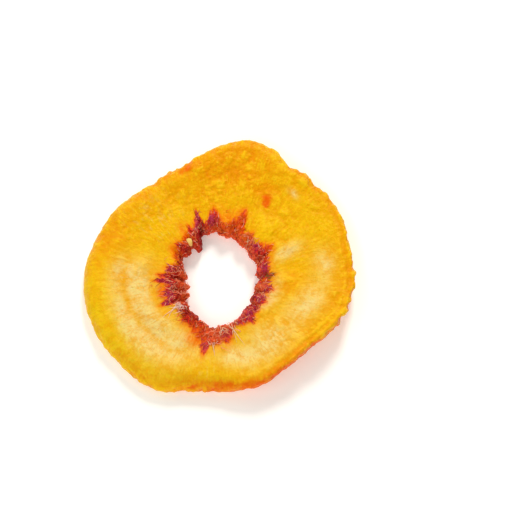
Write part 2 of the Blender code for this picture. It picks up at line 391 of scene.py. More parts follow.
def ripple_wave(angle, from_rim):
    """From -1 to 1: the growth rings that drying has raised on the left side."""
    window = bell(angle, *GROWTH_RINGS) * smooth(from_rim / RIPPLE_SPACING)
    return window * np.cos(2 * np.pi * from_rim / RIPPLE_SPACING)


def ripple_hollows(angle, from_rim):
    """1 in the hollows between the growth rings, and less in the one by the rim."""
    wave = np.cos(2 * np.pi * from_rim / RIPPLE_SPACING)
    window = bell(angle, *GROWTH_RINGS) * blend(smooth(from_rim / RIPPLE_SPACING), RIM_HOLLOW_SHARE, 1.0)
    return window * np.maximum(0, -wave) ** HOLLOW_SHARPNESS


def flutter(angle, from_rim):
    wave = round_noise(angle, FLUTTERS_ROUND, TOP_SEED)
    return FLUTTER_HEIGHT * lip(angle) * wave * fade(from_rim, FLUTTER_WIDTH)


def top_height(x, y, angle, from_hole, from_rim):
    thickness = blend(fade(from_rim, RIM_THICK_WIDTH), FLESH_THICKNESS, RIM_THICKNESS)
    swell = SWELL_HEIGHT * hump(from_rim, SWELL_FROM_RIM, SWELL_WIDTH)
    relief = fibres(angle, from_hole) + RIPPLE_HEIGHT * ripple_wave(angle, from_rim)
    for row in (LUMPS, WRINKLES):
        relief = relief + bumps(x, y, *row, TOP_SEED)
    torn = FURROW_DEPTH * furrow(angle, from_hole)
    return curl(x, y) + flutter(angle, from_rim) + thickness + swell + relief - torn


def under_height(x, y, angle, from_hole, from_rim):
    torn = UNDER_FURROW_DEPTH * furrow(angle, from_hole)
    relief = bumps(x, y, *UNDER_LUMPS, UNDER_SEED) - UNDER_PRESSED
    return np.maximum(0.0, curl(x, y) + flutter(angle, from_rim) + torn + relief)


def edge_quarters(steps, nose, top_inset, under_inset):
    """Columns round an edge from the top face to the underside: (how far in from the nose, level)."""
    for step in range(1, steps):
        turn = math.radians(90 * (1 - step / steps))
        yield top_inset * (1 - math.cos(turn)), nose + (1 - nose) * math.sin(turn)
    yield 0.0 * nose, nose
    for step in range(1, steps):
        turn = math.radians(90 * step / steps)
        yield under_inset * (1 - math.cos(turn)), nose - (1 + nose) * math.sin(turn)


def section_columns(angle, length):
    """The ring's section as columns: (distance from the hole's edge, level), each for all directions."""
    thin = lip(angle)
    rim_nose = blend(thin, SHOULDER_NOSE, LIP_NOSE)
    rim_top = blend(thin, SHOULDER_TOP_INSET, LIP_TOP_INSET)
    rim_under = blend(thin, SHOULDER_UNDER_INSET, LIP_UNDER_INSET)
    hole_nose = HOLE_NOSE - FLAP_DROP * flap(angle)
    hole_top = HOLE_TOP_INSET + FLAP_SLOPE * flap(angle)
    level = np.ones_like(angle)
    for step in range(STEPS_TOP + 1):
        yield blend((step / STEPS_TOP) ** CROWDING, hole_top, length - rim_top), level
    for inset, height in edge_quarters(STEPS_RIM, rim_nose, rim_top, rim_under):
        yield length - inset, height
    for step in range(STEPS_UNDER + 1):
        yield blend((1 - step / STEPS_UNDER) ** CROWDING, HOLE_UNDER_INSET, length - rim_under), -level
    hole_under = HOLE_UNDER_INSET + 0 * level
    yield from reversed(list(edge_quarters(STEPS_HOLE, hole_nose, hole_top, hole_under)))


def smooth_mesh(name, points, faces):
    mesh = bpy.data.meshes.new(name)
    mesh.from_pydata(points.tolist(), [], faces)
    mesh.shade_smooth()
    return mesh


class Ring:
    """The slice's surface as a grid: rows go round the ring, and columns go round its section.
    The first STEPS_TOP + 1 columns are the face that shows, from the hole outwards."""

    def __init__(self):
        angle = 360 * np.arange(STEPS_ROUND) / STEPS_ROUND
        x, y = heading(angle)
        hole_x = STONE_CENTRE[0] + x * hole_radius(angle)
        hole_y = STONE_CENTRE[1] + y * hole_radius(angle)
        rim_x, rim_y = x * rim_radius(angle), y * rim_radius(angle)
        length = np.hypot(rim_x - hole_x, rim_y - hole_y)
        columns = list(section_columns(angle, length))
        self.from_hole = np.stack([column[0] for column in columns], axis=1)
        self.level = np.stack([column[1] for column in columns], axis=1)
        self.angle = np.repeat(angle[:, None], len(columns), axis=1)
        self.from_rim = length[:, None] - self.from_hole
        share = self.from_hole / length[:, None]
        x = blend(share, hole_x[:, None], rim_x[:, None])
        y = blend(share, hole_y[:, None], rim_y[:, None])
        spot = (x, y, self.angle, self.from_hole, self.from_rim)
        z = blend((self.level + 1) / 2, under_height(*spot), top_height(*spot))
        self.points = np.stack((x, y, z), axis=2)
        self.centre_on(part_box(NODE))

    def centre_on(self, box):
        low, high = box
        flat = self.points.reshape(-1, 3)
        middle = (flat.min(0) + flat.max(0)) / 2
        self.points += np.array([(low[i] + high[i]) / 2 - middle[i] for i in (0, 1)] + [0.0])

    def normals(self):
        along = np.roll(self.points, -1, axis=0) - np.roll(self.points, 1, axis=0)
        across = np.roll(self.points, -1, axis=1) - np.roll(self.points, 1, axis=1)
        outward = np.cross(across, along)
        return outward / np.linalg.norm(outward, axis=2, keepdims=True)

    def push_out(self, height):
        """Moves the surface along its normals, but never down through what the slice lies on."""
        self.points += self.normals() * height[:, :, None]
        self.points[:, :, 2] = np.maximum(self.points[:, :, 2], 0.0)

    def mesh(self, name):
        rows, columns = self.angle.shape
        index = np.arange(rows * columns).reshape(rows, columns)
        ahead = np.roll(index, -1, axis=0)
        corners = (index, np.roll(index, -1, axis=1), np.roll(ahead, -1, axis=1), ahead)
        faces = np.stack(corners, axis=2).reshape(-1, 4)
        return smooth_mesh(name, self.points.reshape(-1, 3), faces.tolist())


def lumps(ring, size, seed):
    """Noise in the solid itself, with waves of about the size given."""
    x, y, z = (ring.points[:, :, i] / size for i in range(3))
    return noise_at(x, y, z + seed)


def patchiness(ring, seed):
    """0 where the flesh is smooth, and 1 where it is crinkled."""
    return smooth(0.5 + PATCH_CONTRAST * lumps(ring, PATCH_SIZE, seed))


def ridged(wave):
    """Thin crests where noise crosses zero, with wide hollows between them. Taken away from a surface,
    it leaves rounded bulges with thin creases between them."""
    return CREST - abs(wave)


def ridges(angle, distance, seed, height, count, length):
    return height * ridged(round_noise(angle, count, seed + distance / length))


def flesh_relief(ring, seed):
    """Creases and crinkles of the whole flesh: radial near the hole, and along the rim near the rim."""
    angle, from_hole, from_rim = ring.angle, ring.from_hole, ring.from_rim
    crinkled = patchiness(ring, seed)
    relief = np.zeros_like(angle)
    for height, size, least, most in (CREASES, CRINKLES):
        relief -= height * ridged(lumps(ring, size, seed)) * blend(crinkled, least, most)
    calm = SMOOTH_SHARE * bell(angle, *SMOOTH_SIDE) * smooth(from_rim / SMOOTH_FROM_RIM)
    relief *= 1 - calm

    near_rim = fade(from_rim, RIM_LINES_WIDTH)
    relief += ridges(angle, from_hole, seed, *RADIALS) * (1 - near_rim) * patchiness(ring, -seed)
    along = ridges(angle, from_rim, seed, *RIM_LINES) * blend(lip(angle), SHOULDER_LINES, 1.0)
    relief += along * near_rim * patchiness(ring, 2 * seed)

    wrinkles = ridges(angle, ring.level, seed, *RIM_WRINKLES) + lip_crimps(ring, seed)
    return relief + wrinkles * fade(from_rim, EDGE_WIDTH) + lip_ridges(ring)


def lip_crimps(ring, seed):
    """Small flutes of the lip. They lean, and they are deep in some stretches and shallow in others."""
    leaning = ring.angle + LIP_CRIMP_LEAN * ring.level
    turn = seed + LIP_CRIMP_TURNS * ring.level
    crimps = LIP_CRIMP_HEIGHT * round_noise(leaning, LIP_CRIMPS_ROUND, turn)
    fluted = blend(bell(ring.angle, *FLUTED_LIP), UNFLUTED_SHARE, 1.0)
    crimps += FINE_CRIMP_HEIGHT * fluted * round_noise(leaning, FINE_CRIMPS_ROUND, turn)
    deep = smooth(0.5 + STRETCH_CONTRAST * round_noise(ring.angle, STRETCHES_ROUND, -seed))
    return crimps * blend(lip(ring.angle), SHALLOW_SHARE, 1.0) * blend(deep, SHALLOW_SHARE, 1.0)


def lip_ridges(ring):
    """Low ridges of the face that follow the lip."""
    rise = sum(height * hump(ring.from_rim, place, width) for place, width, height in LIP_RIDGES)
    return rise * lip(ring.angle) * smooth(ring.level)


def torn_relief(ring, seed):
    """Radial ridges, but on the flap they run along the hole's edge. Lumps of pulp lie over both."""
    outward = ridges(ring.angle, ring.from_hole, seed, *TORN_RIDGES)
    along = ridges(ring.angle, ring.from_hole, seed, *FLAP_LINES)
    relief = blend(FLAP_CALM * flap(ring.angle), outward, along)
    for height, size in TORN_LUMPS:
        relief = relief + height * lumps(ring, size, seed)
    return relief


def fine_relief(ring):
    """What drying and tearing add to the solid's own relief, as a height along the normal."""
    torn = smooth(TORN_END - ring.from_hole / stain_reach(ring.angle))
    ragged = blend(smooth(ring.level * 2 - 1), UNDER_SEED, TOP_SEED)
    return blend(torn, flesh_relief(ring, TOP_SEED), torn_relief(ring, ragged))


def stain_reach(angle):
    """How far the star's red runs over the face from the hole's edge."""
    return furthest(angle, STAIN_LOBES, LEAST_STAIN) + FRAY * round_noise(angle, FRAYS_ROUND, UNDER_SEED)


def patches(rows, angle, distance):
    """The sum of soft oval patches, each 1 in its middle."""
    return sum(bell(angle, row[0], row[1]) * hump(distance, row[2], row[3]) for row in rows)


def oval(ring, lean, x, y, half_width, half_length):
    """1 in the middle of a soft oval patch that leans clockwise by some degrees from +Y."""
    dx, dy = ring.points[:, :, 0] - x, ring.points[:, :, 1] - y
    across, along = heading(-lean)
    aside = (dx * across + dy * along) / half_width
    lengthwise = (dy * across - dx * along) / half_length
    return np.exp(-(aside ** 2 + lengthwise ** 2))


def blushes(ring, relief, side, yellow):
    """Where the flesh is flushed: in spots, low on the side and along the rim, which on the lower right
    is partly painted warm shade, and in the side's creases, where the flush is painted warm shade.
    """
    angle = ring.angle
    flushed = sum(share * oval(ring, *place) for share, *place in BLUSHES)
    # Partly painted warm shade: the lower right's side and rim turn away from the lights.
    flushed += side * bells(angle, SIDE_BLUSHES)
    flushed += smooth(RIM_BLUSH_END - ring.from_rim / RIM_BLUSH_WIDTH) * bells(angle, RIM_BLUSHES)
    # Painted shade: the side's creases are flushed redder, as warm shade would colour them.
    crease_shade = smooth(-relief / CREASE_DEPTH)
    return flushed + CREASE_SHADE_BLUSH * side * crease_shade * (1 - YELLOW_LESS_BLUSH * yellow)


def colour_shares(ring, relief):
    """The attributes that the flesh material reads: beyond_star in millimetres, the others up to 1."""
    angle, from_hole, from_rim = ring.angle, ring.from_hole, ring.from_rim
    top = smooth(ring.level * 2)
    beyond = from_hole - stain_reach(angle)
    side = smooth((blend(lip(angle), SIDE_FROM_SHOULDER, SIDE_FROM_LIP) - ring.level) / SIDE_FADE)
    low_side = smooth((LOW_SIDE_FROM - ring.level) / LOW_SIDE_FADE)
    yellow = bell(angle, *YELLOW_SIDE)
    orange = ORANGE_SHARE * patches(ORANGE_PATCHES, angle, from_rim)
    # The side's orange is partly painted warm shade on walls turned from the lights.
    orange += side * (1 - YELLOW_LESS_ORANGE * yellow) + LOW_SIDE_ORANGE * low_side
    gold = RIM_GOLD * fade(from_rim, RIM_GOLD_WIDTH) * (1 - yellow) + ripple_hollows(angle, from_rim)
    gold += GROOVE_SHARE * patches(GROOVE_PATCHES, angle, from_rim)
    less_pale = (1 - GOLD_LESS_PALE * np.clip(gold, 0, 1)) * (1 - ORANGE_LESS_PALE * orange)
    # dark is partly the flesh's dark red and partly painted shade at the hole's edge.
    dark = np.clip(patches(DARK_STAIN_AND_SHADE_PATCHES, angle, from_hole), 0, 1)
    # Painted light on the wall's brow, in salmon.
    lit_brow = LIT_BROW_SALMON * hump(from_hole, BROW_PLACE, BROW_WIDTH) * (1 - dark)
    halo = HALO_SHARE * hump(np.maximum(0, beyond), 0, HALO_WIDTH)
    shares = {
        "lemon": yellow * fade(from_rim, LEMON_WIDTH) * (1 - SIDE_LESS_LEMON * side),
        "pale": patches(PALE_PATCHES, angle, from_rim) * top * less_pale,
        "orange": orange,
        "gold": gold,
        "dashes": patches(DASH_PATCHES, angle, from_rim) * top,
        "blush": blushes(ring, relief, side, yellow),
        "halo": halo + patches(GLOW_PATCHES, angle, from_hole),
        "purple": patches(PURPLE_PATCHES, angle, from_hole),
        "ember": patches(EMBER_PATCHES, angle, from_hole),
        "salmon": patches(SALMON_PATCHES, angle, from_hole) + lit_brow,
        "dark": dark,
        "olive": patches(OLIVE_PATCHES, angle, from_hole),
    }
    shares = {name: np.clip(values, 0, 1) for name, values in shares.items()}
    # relief marks the hollows and crests where the flesh material paints shade and highlights.
    return shares | {"beyond_star": beyond / MM, "relief": np.clip(relief / SHADE_RELIEF_UNIT, -1, 1)}


def add_attribute(mesh, name, values, kind="FLOAT", field="value"):
    attribute = mesh.attributes.new(name, kind, "POINT")
    attribute.data.foreach_set(field, np.ascontiguousarray(values, dtype=np.float32).ravel())


def linear(red, green, blue):
    """A colour given as on a screen, from 0 to 255, as the linear values that a shader takes."""
    shares = [channel / 255 for channel in (red, green, blue)]
    return [s / 12.92 if s <= 0.04045 else ((s + 0.055) / 1.055) ** 2.4 for s in shares] + [1.0]


class Shader:
    """Builds one material's nodes. An input is a number, a colour or another node's output."""

    def __init__(self, name):
        self.material = bpy.data.materials.new(name)
        self.material.use_nodes = True
        self.tree = self.material.node_tree
        self.surface = self.tree.nodes["Principled BSDF"]

    def node(self, kind, **settings):
        node = self.tree.nodes.new(kind)
        for name, value in settings.items():
            setattr(node, name, value)
        return node

    def put(self, socket, value):
        if isinstance(value, bpy.types.NodeSocket):
            self.tree.links.new(value, socket)
        else:
            socket.default_value = value

    def put_all(self, node, values):
        for name, value in values.items():
            self.put(node.inputs[name], value)

    def attribute(self, name):
        return self.node("ShaderNodeAttribute", attribute_name=name)

    def share(self, name):
        return self.attribute(name).outputs["Fac"]

    def maths(self, operation, *values, clamp=False):
        node = self.node("ShaderNodeMath", operation=operation, use_clamp=clamp)
        for socket, value in zip(node.inputs, values):
            self.put(socket, value)
        return node.outputs[0]

    def noise(self, vector, scale, detail, roughness):
        node = self.node("ShaderNodeTexNoise")
        self.put_all(node, {"Vector": vector, "Scale": scale, "Detail": detail, "Roughness": roughness})
        return node.outputs["Fac"]

    def drawn_out_noise(self, polar, around, outward, detail, roughness):
        """Noise with waves counted to a radian round the hole and to a centimetre away from it."""
        node = self.node("ShaderNodeVectorMath", operation="MULTIPLY")
        self.put_all(node, {0: polar, 1: (around, around, outward)})
        return self.noise(node.outputs[0], 1.0, detail, roughness)

    def ramp(self, value, low, high, start=0.0, end=1.0):
        """Runs evenly from start to end as value goes from low to high."""
        node = self.node("ShaderNodeMapRange", interpolation_type="SMOOTHSTEP")
        limits = {"From Min": low, "From Max": high, "To Min": start, "To Max": end}
        self.put_all(node, {"Value": value} | limits)
        return node.outputs["Result"]

    def mix(self, share, first, second):
        """The node's colours go by number, because its other sockets have the same names."""
        node = self.node("ShaderNodeMix", data_type="RGBA")
        self.put_all(node, {"Factor": share, 6: first, 7: second})
        return node.outputs[2]

    def weighted(self, name, value, low, high, start, end, clamp=False):
        """One of the mesh's shares, times a ramp of the value."""
        strength = self.ramp(value, low, high, start, end)
        return self.maths("MULTIPLY", self.share(name), strength, clamp=clamp)

    def tinge(self, colour, tone, value, low, high, most):
        """Draws the colour towards the tone: not at all at low, and by most at high."""
        return self.mix(self.ramp(value, low, high, 0.0, most), colour, tone)

    def fine_lines(self, value, width):
        """1 along the thin lines where a noise crosses its mean, and 0 away from them."""
        off = self.maths("ABSOLUTE", self.maths("SUBTRACT", value, 0.5))
        return self.ramp(off, 0.0, width, 1.0, 0.0)

    def bump(self, height, distance, strength, under=None):
        node = self.node("ShaderNodeBump")
        self.put_all(node, {"Height": height, "Distance": distance, "Strength": strength})
        if under is not None:
            self.put(node.inputs["Normal"], under)
        return node.outputs["Normal"]

    def surfaced(self, values):
        """Sets inputs of the surface, and gives the material."""
        self.put_all(self.surface, values)
        return self.material


GOLD = linear(239, 184, 2)
PALE = linear(243, 214, 128)
ORANGE = linear(244, 161, 0)
LEMON = linear(242, 213, 12)
LIGHT_GOLD = linear(253, 202, 20)
DEEP_GOLD = linear(235, 162, 0)
AMBER = linear(236, 142, 0)
CREAM = linear(254, 232, 186)
KNOB_CREAM = linear(254, 214, 120)
WHITE_PINK = linear(255, 236, 222)
EMBER = linear(236, 92, 0)
HALO = linear(242, 122, 4)
CRIMSON = linear(234, 38, 26)
DARK_CRIMSON = linear(150, 8, 16)
PURPLE = linear(186, 44, 90)
SALMON = linear(240, 104, 44)
PINK = linear(252, 170, 136)
OLIVE = linear(132, 96, 34)
GLOSS = linear(255, 214, 130)

# Even noises: (waves to a metre, detail, roughness)
MOTTLE = (240, 4, 0.6)
CLOUDS = (480, 3, 0.65)
FLECKS = (1100, 3, 0.6)
PULP = (1500, 4, 0.65)
COARSE_GRAIN = (900, 3, 0.6)
FINE_GRAIN = (2600, 2, 0.5)
THREAD_MOTTLE = (2400, 3, 0.6)

# Noises drawn out from the hole: (waves to a radian, waves to a centimetre, detail, roughness)
DRIFTS = (4.5, 4.0, 4, 0.7)
STREAKS = (9, 2.4, 4, 0.65)
DASHES = (28, 5.5, 3, 0.6)
FIBRILS = (58, 5, 2, 0.6)
FIBRES = (30, 5, 4, 0.65)

# Bumps of the materials: (height, strength)
COARSE_BUMP = (0.38 * MM, 0.85)
FINE_BUMP = (0.13 * MM, 0.75)
FIBRE_BUMP = (0.15 * MM, 0.35)
THREAD_BUMP = (0.06 * MM, 0.6)


def flesh_colour(shader, place, polar):
    """The flesh away from the hole: golden, with pale and deep stretches, mottling and fibres, and
    painted shade in its hollows and painted highlights on its crests.
    """
    mottle, clouds, flecks = (shader.noise(place, *row) for row in (MOTTLE, CLOUDS, FLECKS))
    drawn_out = (DRIFTS, STREAKS, DASHES, FIBRILS)
    drifts, streaks, dashes, fibrils = (shader.drawn_out_noise(polar, *row) for row in drawn_out)

    pale = shader.weighted("pale", mottle, 0.25, 0.65, 0.55, 1.15, clamp=True)
    colour = shader.mix(pale, GOLD, PALE)
    flush = shader.weighted("orange", shader.share("pale"), 0.1, 1.0, 1.0, 0.25)
    orange = shader.maths("MULTIPLY", flush, shader.ramp(mottle, 0.66, 0.36, 0.4, 1.15), clamp=True)
    colour = shader.mix(orange, colour, ORANGE)
    colour = shader.mix(shader.share("lemon"), colour, LEMON)
    gold = shader.weighted("gold", streaks, 0.3, 0.7, 0.4, 1.1, clamp=True)
    colour = shader.mix(gold, colour, DEEP_GOLD)
    colour = shader.tinge(colour, DEEP_GOLD, streaks, 0.5, 0.7, 0.35)

    deep, light = shader.mix(orange, DEEP_GOLD, AMBER), shader.mix(pale, LIGHT_GOLD, PALE)
    for tone, value, low, high, most in (
        (deep, drifts, 0.48, 0.34, 0.5),
        (light, drifts, 0.54, 0.68, 0.45),
        (deep, clouds, 0.5, 0.36, 0.45),
        (light, clouds, 0.54, 0.68, 0.45),
        (deep, flecks, 0.56, 0.7, 0.55),
        (light, flecks, 0.44, 0.32, 0.55),
    ):
        colour = shader.tinge(colour, tone, value, low, high, most)
    colour = shader.mix(shader.weighted("dashes", dashes, 0.5, 0.72, 0.0, 0.4), colour, PALE)
    shown = shader.ramp(mottle, 0.35, 0.6, 0.3, 1.0)
    for tone, low, high, most in ((light, 0.54, 0.68, 0.65), (deep, 0.46, 0.32, 0.55)):
        fibril = shader.maths("MULTIPLY", shown, shader.ramp(fibrils, low, high, 0.0, most))
        colour = shader.mix(fibril, colour, tone)

    # Painted shade and highlights: the flesh is drawn towards the deep tone in its hollows and towards
    # the light tone on its crests.
    relief = shader.maths("ADD", shader.share("relief"), shader.ramp(flecks, 0.2, 0.8, -0.5, 0.5))
    colour = shader.tinge(colour, deep, relief, -0.1, -1.1, 0.7)
    colour = shader.tinge(colour, light, relief, 0.1, 1.1, 0.6)
    blush = shader.maths("ADD", shader.share("blush"), shader.ramp(clouds, 0.3, 0.7, -0.22, 0.22))
    return shader.tinge(colour, EMBER, blush, 0.15, 0.95, 0.95)


def star_colour(shader, fibres, pulp):
    """The torn flesh round the hole: crimson, with patches of other reds and fine pale fibres."""
    colour = shader.mix(shader.ramp(pulp, 0.38, 0.6), DARK_CRIMSON, CRIMSON)
    for name, tone, value, low, high, least in (
        ("purple", PURPLE, pulp, 0.3, 0.6, 0.35),
        ("ember", EMBER, fibres, 0.35, 0.65, 0.45),
        ("salmon", SALMON, fibres, 0.35, 0.6, 0.5),
    ):
        colour = shader.mix(shader.weighted(name, value, low, high, least, 1.0), colour, tone)
    # The dark share is partly painted shade at the hole's edge.
    for name, tone in (("dark", DARK_CRIMSON), ("olive", OLIVE)):
        colour = shader.mix(shader.share(name), colour, tone)
    shown = shader.ramp(pulp, 0.4, 0.6, 0.0, 0.5)
    return shader.mix(shader.maths("MULTIPLY", shader.fine_lines(fibres, 0.02), shown), colour, PINK)


def flesh_material():
    shader = Shader("dried_flesh")
    place = shader.node("ShaderNodeTexCoord").outputs["Object"]
    polar = shader.attribute("polar").outputs["Vector"]
    fibres = shader.drawn_out_noise(polar, *FIBRES)
    pulp = shader.noise(place, *PULP)
    edge = shader.share("beyond_star")
    for value, fray in ((fibres, 0.7), (pulp, 0.6)):
        edge = shader.maths("ADD", edge, shader.ramp(value, 0.2, 0.8, -fray, fray))

    colour = flesh_colour(shader, place, polar)
    colour = shader.mix(shader.weighted("halo", fibres, 0.25, 0.65, 0.25, 1.0), colour, HALO)
    star = shader.mix(shader.ramp(edge, -1.4, 0.2), star_colour(shader, fibres, pulp), EMBER)
    coarse = shader.bump(shader.noise(place, *COARSE_GRAIN), *COARSE_BUMP)
    fine = shader.bump(shader.noise(place, *FINE_GRAIN), *FINE_BUMP, coarse)
    return shader.surfaced({
        "Base Color": shader.mix(shader.ramp(edge, -0.6, 0.6), star, colour),
        "Roughness": shader.ramp(pulp, 0.3, 0.7, 0.34, 0.5),
        "Specular IOR Level": 0.16,
        "Specular Tint": GLOSS,
        "Subsurface Weight": 0.2,
        "Subsurface Radius": (1.0, 0.5, 0.12),
        "Subsurface Scale": 0.5 * MM,
        "Normal": shader.bump(fibres, *FIBRE_BUMP, fine),
    })


def thread_material():
    """Threads and shreds take their colour from the mesh, with some mottling."""
    shader = Shader("torn_fibre")
    place = shader.node("ShaderNodeTexCoord").outputs["Object"]
    mottle = shader.noise(place, *THREAD_MOTTLE)
    tint = shader.attribute("tint").outputs["Color"]
    return shader.surfaced({
        "Base Color": shader.tinge(tint, SALMON, mottle, 0.45, 0.7, 0.15),
        "Roughness": 0.42,
        "Specular IOR Level": 0.12,
        "Subsurface Weight": 0.2,
        "Subsurface Radius": (1.0, 0.4, 0.2),
        "Subsurface Scale": 0.4 * MM,
        "Normal": shader.bump(mottle, *THREAD_BUMP),
    })


class Sheet:
    """The hole's wall and the face as one grid to walk over, from the wall's foot outwards."""

    LEAST_GAP = 0.02 * MM  # keeps a step across crowded columns from being too long

    def __init__(self, ring):
        self.points = self.unroll(ring.points)
        self.normals = self.unroll(ring.normals())
        self.from_hole = self.unroll(ring.from_hole)
        self.rows, self.columns = self.from_hole.shape

    def unroll(self, grid):
        return np.concatenate((grid[:, -STEPS_HOLE:], grid[:, : STEPS_TOP + 1]), axis=1)

    def at(self, grid, row, column):
        i, j = math.floor(row), min(math.floor(column), self.columns - 2)
        near, far = grid[i % self.rows], grid[(i + 1) % self.rows]
        inner = blend(row - i, near[j], far[j])
        outer = blend(row - i, near[j + 1], far[j + 1])
        return blend(column - j, inner, outer)

    def walk(self, direction, distance, bearings, step):
        """The points and normals along a path over the sheet from a place near the hole. A bearing of 0
        leads away from the hole, and 90 anticlockwise round it."""
        row = direction / 360 * self.rows
        column = np.interp(distance, self.from_hole[round(row) % self.rows], range(self.columns))
        points, normals = [], []
        for bearing in bearings:
            here = self.at(self.points, row, column)
            points.append(here)
            normals.append(self.at(self.normals, row, column))
            across = np.linalg.norm(self.at(self.points, row, column + 0.5) - here) * 2
            along = np.linalg.norm(self.at(self.points, row + 0.5, column) - here) * 2
            column += step * math.cos(math.radians(bearing)) / max(across, self.LEAST_GAP)
            column = min(max(column, 0.0), self.columns - 2.0)
            row += step * math.sin(math.radians(bearing)) / along
        return np.array(points), np.array(normals)


class Threads:
    """Tapered threads and shreds, gathered into one mesh."""

    SIDES = 5
    TAPER, TAPER_POWER = 0.85, 1.5
    KNOB_END = 0.02  # keeps a knob's ends from coming to a point

    def __init__(self, sheet):
        self.sheet = sheet
        self.points, self.faces, self.tints = [], [], []
        self.count = 0

    def lay(self, direction, distance, bearings, length, width, tint,
            rise=0.0, tip_rise=0.0, flatness=1.0, is_knob=False):
        """Lays a thread over the sheet. It rises by rise in its middle and by tip_rise at its end.
        It tapers to its end, but a knob is round at both ends."""
        points, normals = self.sheet.walk(direction, distance, bearings, length / (len(bearings) - 1))
        t = np.linspace(0, 1, len(points))[:, None]
        taper = self.knob_profile(t) if is_knob else 1 - self.TAPER * t ** self.TAPER_POWER
        half = 0.5 * width * taper
        points = points + normals * (half * flatness + rise * np.sin(math.pi * t) + tip_rise * t * t)
        self.add_tube(points, normals, half, flatness)
        self.tints += [tint] * (len(points) * self.SIDES)

    def knob_profile(self, t):
        return np.sqrt(np.sin(math.pi * blend(t, self.KNOB_END, 1 - self.KNOB_END)))

    def add_tube(self, points, normals, half, flatness):
        ahead = np.gradient(points, axis=0)
        side = np.cross(ahead, normals)
        side /= np.linalg.norm(side, axis=1, keepdims=True)
        up = np.cross(side, ahead)
        up /= np.linalg.norm(up, axis=1, keepdims=True)
        for step in range(self.SIDES):
            turn = 2 * math.pi * step / self.SIDES
            self.points.append(points + half * (math.cos(turn) * side + flatness * math.sin(turn) * up))
        length = len(points)
        sides = [[self.count + side * length + i for i in range(length)] for side in range(self.SIDES)]
        for first, second in zip(sides, sides[1:] + sides[:1]):
            self.faces += [(first[i], first[i + 1], second[i + 1], second[i]) for i in range(length - 1)]
        self.faces.append([side[0] for side in sides])
        self.faces.append([side[-1] for side in reversed(sides)])
        self.count += length * self.SIDES

    def mesh(self, name):
        mesh = smooth_mesh(name, np.concatenate(self.points), self.faces)
        tint = mesh.color_attributes.new("tint", "FLOAT_COLOR", "POINT")
        tint.data.foreach_set("color", np.array(self.tints, dtype=np.float32).ravel())
        return mesh


WAVE_TURN = 35  # how far one wave of a thread turns it to either side, in degrees


def wander(start, steps, sway, curl, waves):
    """Bearings of a loose thread, which sway at random, turn by curl in all and wave to and fro."""
    drift = accumulate(random.gauss(0, sway) for _ in range(steps))
    phase = random.uniform(0, 2 * math.pi)
    bearings = []
    for i, turn in enumerate(drift):
        wave = math.sin(phase + 2 * math.pi * waves * i / steps)
        bearings.append(start + turn + curl * i / steps + WAVE_TURN * waves * wave)
    return bearings


def mixed(first, second, share):
    return [blend(share, a, b) for a, b in zip(first, second)]


# The shreds' colours: (colour, weight everywhere, patches, weight added in the middle of a patch)
SHRED_COLOURS = (
    (CRIMSON, 0.5, (), 0.0),
    (SALMON, 0.15, (), 0.0),
    (PURPLE, 0.0, PURPLE_PATCHES, 2.2),
    (EMBER, 0.0, EMBER_PATCHES, 1.6),
    (HALO, 0.0, EMBER_PATCHES, 1.0),
    (SALMON, 0.0, SALMON_PATCHES, 2.0),
    # Shreds in the dark patches are dark crimson: partly their own dark red, partly painted shade.
    (DARK_CRIMSON, 0.3, DARK_STAIN_AND_SHADE_PATCHES, 1.5),
    (OLIVE, 0.0, OLIVE_PATCHES, 6.0),
    (PINK, 0.24, (), 0.0),
)


def shred_tint(direction, distance):
    """A shred's colour, drawn from the patches that it lies in."""
    colours, least, rows, more = zip(*SHRED_COLOURS)
    weights = [a + b * patches(row, direction, distance) for a, row, b in zip(least, rows, more)]
    first, second = random.choices(colours, weights, k=2)
    return mixed(first, second, random.uniform(0, 0.5))


SHREDS, LONG_SHREDS = 1500, 30


def shred_place(near, far):
    """A random direction, the star's reach there, and a distance between two shares of it."""
    direction = random.uniform(0, 360)
    reach = float(stain_reach(np.array(direction)))
    return direction, reach, reach * random.uniform(near, far)


def make_shreds(sheet):
    """Short torn fibres all over the star, most of which point away from the hole."""
    shreds = Threads(sheet)
    for _ in range(SHREDS):
        direction, _, distance = shred_place(0.02, 0.85)
        bearings = wander(random.gauss(0, 55), 7, 12, random.uniform(-60, 60), 0.3)
        tint = shred_tint(direction, distance)
        length, width = random.uniform(0.5, 1.6) * MM, random.uniform(0.1, 0.3) * MM
        tip_rise = random.uniform(0, 0.35) * MM
        shreds.lay(direction, distance, bearings, length, width, tint, tip_rise=tip_rise, flatness=0.7)
    for _ in range(LONG_SHREDS):
        direction, reach, distance = shred_place(0.55, 0.85)
        tint = shred_tint(direction, distance)
        bearings = wander(random.gauss(0, 20), 7, 5, 0, 0.2)
        length = random.uniform(0.2, 0.4) * reach + 0.4 * MM
        width = random.uniform(0.2, 0.4) * MM
        shreds.lay(direction, distance, bearings, length, width, tint, flatness=0.4)
    piece("torn_shreds", shreds.mesh("torn_shreds"), thread_material())


